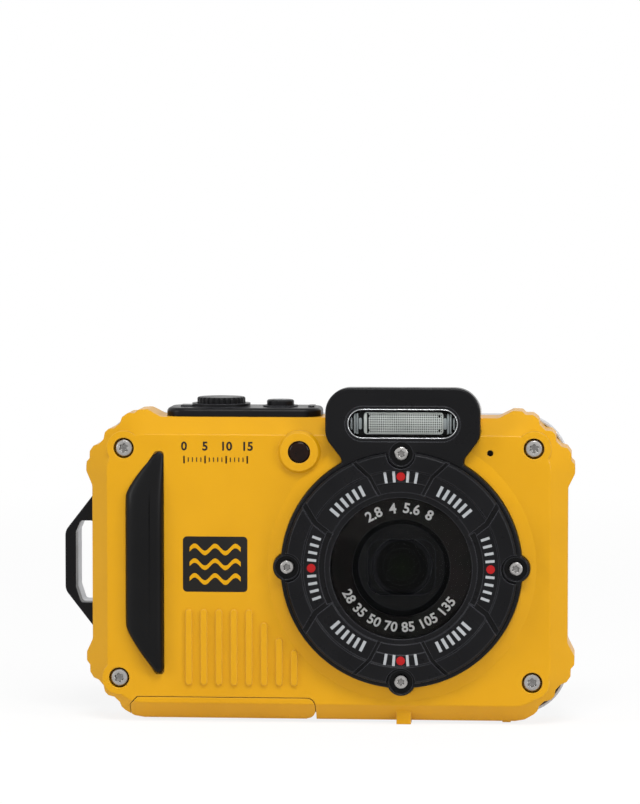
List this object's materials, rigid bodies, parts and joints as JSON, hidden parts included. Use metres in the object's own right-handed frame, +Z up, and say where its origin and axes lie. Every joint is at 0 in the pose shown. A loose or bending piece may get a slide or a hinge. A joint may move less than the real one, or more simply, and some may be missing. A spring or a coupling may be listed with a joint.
{
  "type": "rugged compact camera",
  "caption": "Waterproof compact camera with bumper corners, folded zoom lens behind a screwed bezel, flash hood, rubber grip, strap bar, sealed battery door and rear keys",
  "frame": {"origin": "middle of the footprint, on the surface that the camera stands on", "axes": "lens towards -Y, +Z up, grip and strap bar at -X"},
  "size_m": [0.1146, 0.0274, 0.0751],
  "materials": {
    "yellow_housing": "satin lacquer over moulded shell",
    "silver_housing": "satin silver lacquer",
    "black_plastic": "fine moulded grain",
    "ring_black": "satin black ring with pale grey marks",
    "button_black": "satin black",
    "rubber_black": "matte, fine grain",
    "seal_rubber": "soft silicone",
    "screw_steel": "bare stainless steel",
    "pin_steel": "ground",
    "frame_steel": "stamped sheet",
    "silver_bracket": "satin",
    "window_glass": "coated and clear",
    "lens_glass": "coated, faint green",
    "mask_black": "printed behind the window",
    "flash_clear": "clear, ribbed inside",
    "chrome_trim": "bright",
    "reflector": "vapour coated",
    "lamp_red": "dark red filter",
    "board_green": "glass fibre board with parts",
    "dark_polymer": "inner mouldings",
    "battery_wrap": "sleeved cell",
    "card_black": "moulded card",
    "display_black": "panel behind glass",
    "tripod_brass": "machined"
  },
  "bodies": {
    "root": {"front_housing": "yellow_housing", "rear_housing": "silver_housing", "body_seal": "seal_rubber", "front_bezel": "black_plastic", "lens_ring": "ring_black", "lens_window": "window_glass", "lens_mask": "mask_black", "corner_screws": "screw_steel", "bezel_screws": "screw_steel", "flash_trim": "chrome_trim", "flash_window": "flash_clear", "flash_reflector": "reflector", "flash_tube": "flash_clear", "flash_capacitor": "battery_wrap", "af_lamp_lens": "lamp_red", "af_lamp_led": "flash_clear", "microphone": "frame_steel", "grip_pad": "rubber_black", "strap_cover": "black_plastic", "strap_bracket": "silver_bracket", "top_plate": "black_plastic", "button_seals": "seal_rubber", "button_board": "board_green", "door_hinge_pin": "pin_steel", "battery": "battery_wrap", "battery_bay": "dark_polymer", "memory_card": "card_black", "card_slot": "frame_steel", "usb_port": "frame_steel", "lens_barrel": "dark_polymer", "front_element": "lens_glass", "prism": "lens_glass", "guide_rods": "pin_steel", "image_sensor": "board_green", "chassis": "frame_steel", "main_board": "board_green", "lcd_panel": "display_black", "lcd_window": "window_glass", "key_sheet": "rubber_black", "key_board": "board_green", "speaker": "frame_steel", "tripod_bush": "tripod_brass"},
    "door": {"battery_door": "yellow_housing", "door_gasket": "seal_rubber"},
    "latch": {"door_latch": "button_black"},
    "shutter": {"shutter_button": "button_black"},
    "power": {"power_button": "button_black"},
    "zoom_carriage": {"zoom_group": "dark_polymer"},
    "focus_carriage": {"focus_group": "dark_polymer"},
    "ok": {"ok_key": "button_black"},
    "up": {"up_key": "button_black"},
    "left": {"left_key": "button_black"},
    "down": {"down_key": "button_black"},
    "right": {"right_key": "button_black"},
    "menu": {"menu_key": "button_black"},
    "delete": {"delete_key": "button_black"},
    "movie": {"movie_key": "button_black"},
    "playback": {"playback_key": "button_black"},
    "zoom_wide": {"zoom_wide_key": "button_black"},
    "zoom_tele": {"zoom_tele_key": "button_black"}
  },
  "joints": [
    {"name": "door_hinge", "type": "hinge", "parent": "root", "child": "door", "pos_m": [-0.00255, -0.0021, 0.00275], "axis": [0, -1, 0], "range_deg": [0, 90]},
    {"name": "door_lock", "type": "slide", "parent": "door", "child": "latch", "axis": [-1, 0, 0], "range_m": [0, 0.0022]},
    {"name": "shutter_press", "type": "slide", "parent": "root", "child": "shutter", "axis": [0, 0, -1], "range_m": [0, 0.0009], "stiffness_N_per_m": 900},
    {"name": "power_press", "type": "slide", "parent": "root", "child": "power", "axis": [0, 0, -1], "range_m": [0, 0.0005], "stiffness_N_per_m": 1500},
    {"name": "zoom_drive", "type": "slide", "parent": "root", "child": "zoom_carriage", "axis": [0, 0, 1], "range_m": [-0.0025, 0.004]},
    {"name": "focus_drive", "type": "slide", "parent": "root", "child": "focus_carriage", "axis": [0, 0, 1], "range_m": [-0.002, 0.002]},
    {"name": "ok_press", "type": "slide", "parent": "root", "child": "ok", "axis": [0, -1, 0], "range_m": [0, 0.0004], "stiffness_N_per_m": 1500},
    {"name": "up_press", "type": "slide", "parent": "root", "child": "up", "axis": [0, -1, 0], "range_m": [0, 0.0004], "stiffness_N_per_m": 1500},
    {"name": "left_press", "type": "slide", "parent": "root", "child": "left", "axis": [0, -1, 0], "range_m": [0, 0.0004], "stiffness_N_per_m": 1500},
    {"name": "down_press", "type": "slide", "parent": "root", "child": "down", "axis": [0, -1, 0], "range_m": [0, 0.0004], "stiffness_N_per_m": 1500},
    {"name": "right_press", "type": "slide", "parent": "root", "child": "right", "axis": [0, -1, 0], "range_m": [0, 0.0004], "stiffness_N_per_m": 1500},
    {"name": "menu_press", "type": "slide", "parent": "root", "child": "menu", "axis": [0, -1, 0], "range_m": [0, 0.0004], "stiffness_N_per_m": 1500},
    {"name": "delete_press", "type": "slide", "parent": "root", "child": "delete", "axis": [0, -1, 0], "range_m": [0, 0.0004], "stiffness_N_per_m": 1500},
    {"name": "movie_press", "type": "slide", "parent": "root", "child": "movie", "axis": [0, -1, 0], "range_m": [0, 0.0004], "stiffness_N_per_m": 1500},
    {"name": "playback_press", "type": "slide", "parent": "root", "child": "playback", "axis": [0, -1, 0], "range_m": [0, 0.0004], "stiffness_N_per_m": 1500},
    {"name": "zoom_wide_press", "type": "slide", "parent": "root", "child": "zoom_wide", "axis": [0, -1, 0], "range_m": [0, 0.0004], "stiffness_N_per_m": 1500},
    {"name": "zoom_tele_press", "type": "slide", "parent": "root", "child": "zoom_tele", "axis": [0, -1, 0], "range_m": [0, 0.0004], "stiffness_N_per_m": 1500}
  ]
}
